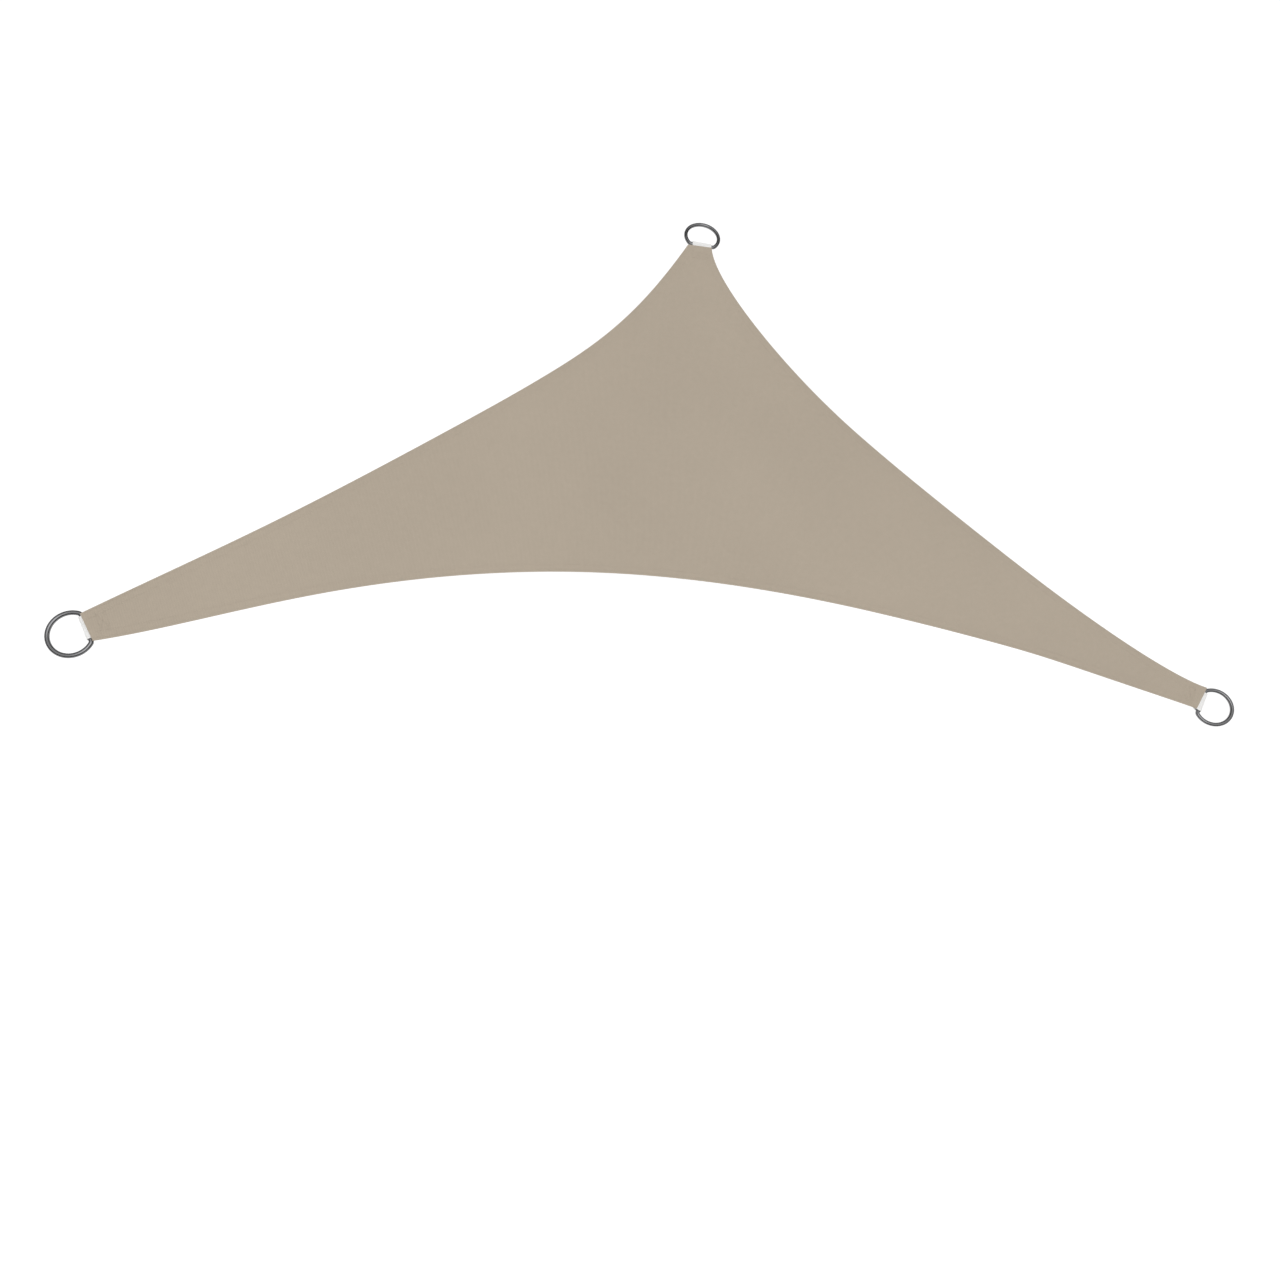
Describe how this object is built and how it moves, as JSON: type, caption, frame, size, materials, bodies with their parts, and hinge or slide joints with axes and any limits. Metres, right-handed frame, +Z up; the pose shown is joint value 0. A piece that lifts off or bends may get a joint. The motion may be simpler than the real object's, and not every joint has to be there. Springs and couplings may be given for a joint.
{
  "type": "shade sail",
  "caption": "Triangular shade sail of taupe cloth with hollow-cut hemmed edges, stretched level by a steel D-ring in a pale webbing loop at each corner.",
  "frame": {"origin": "where a hook bears, inside the bow of the back corner's D-ring", "axes": "+X along the front side from the left corner to the right one, +Y from the front side to the back corner, +Z up out of the cloth's upper face"},
  "size_m": [2.8437, 1.3703, 0.041],
  "materials": {
    "sail_cloth": "matt taupe knitted shade cloth",
    "webbing": "pale woven polyester webbing",
    "ring_steel": "drawn and welded round steel, dark satin polish"
  },
  "bodies": {
    "root": {"sail_cloth": "sail_cloth", "webbing_loop_left": "webbing", "webbing_loop_back": "webbing", "webbing_loop_right": "webbing", "d_ring_left": "ring_steel", "d_ring_back": "ring_steel", "d_ring_right": "ring_steel"}
  },
  "joints": []
}
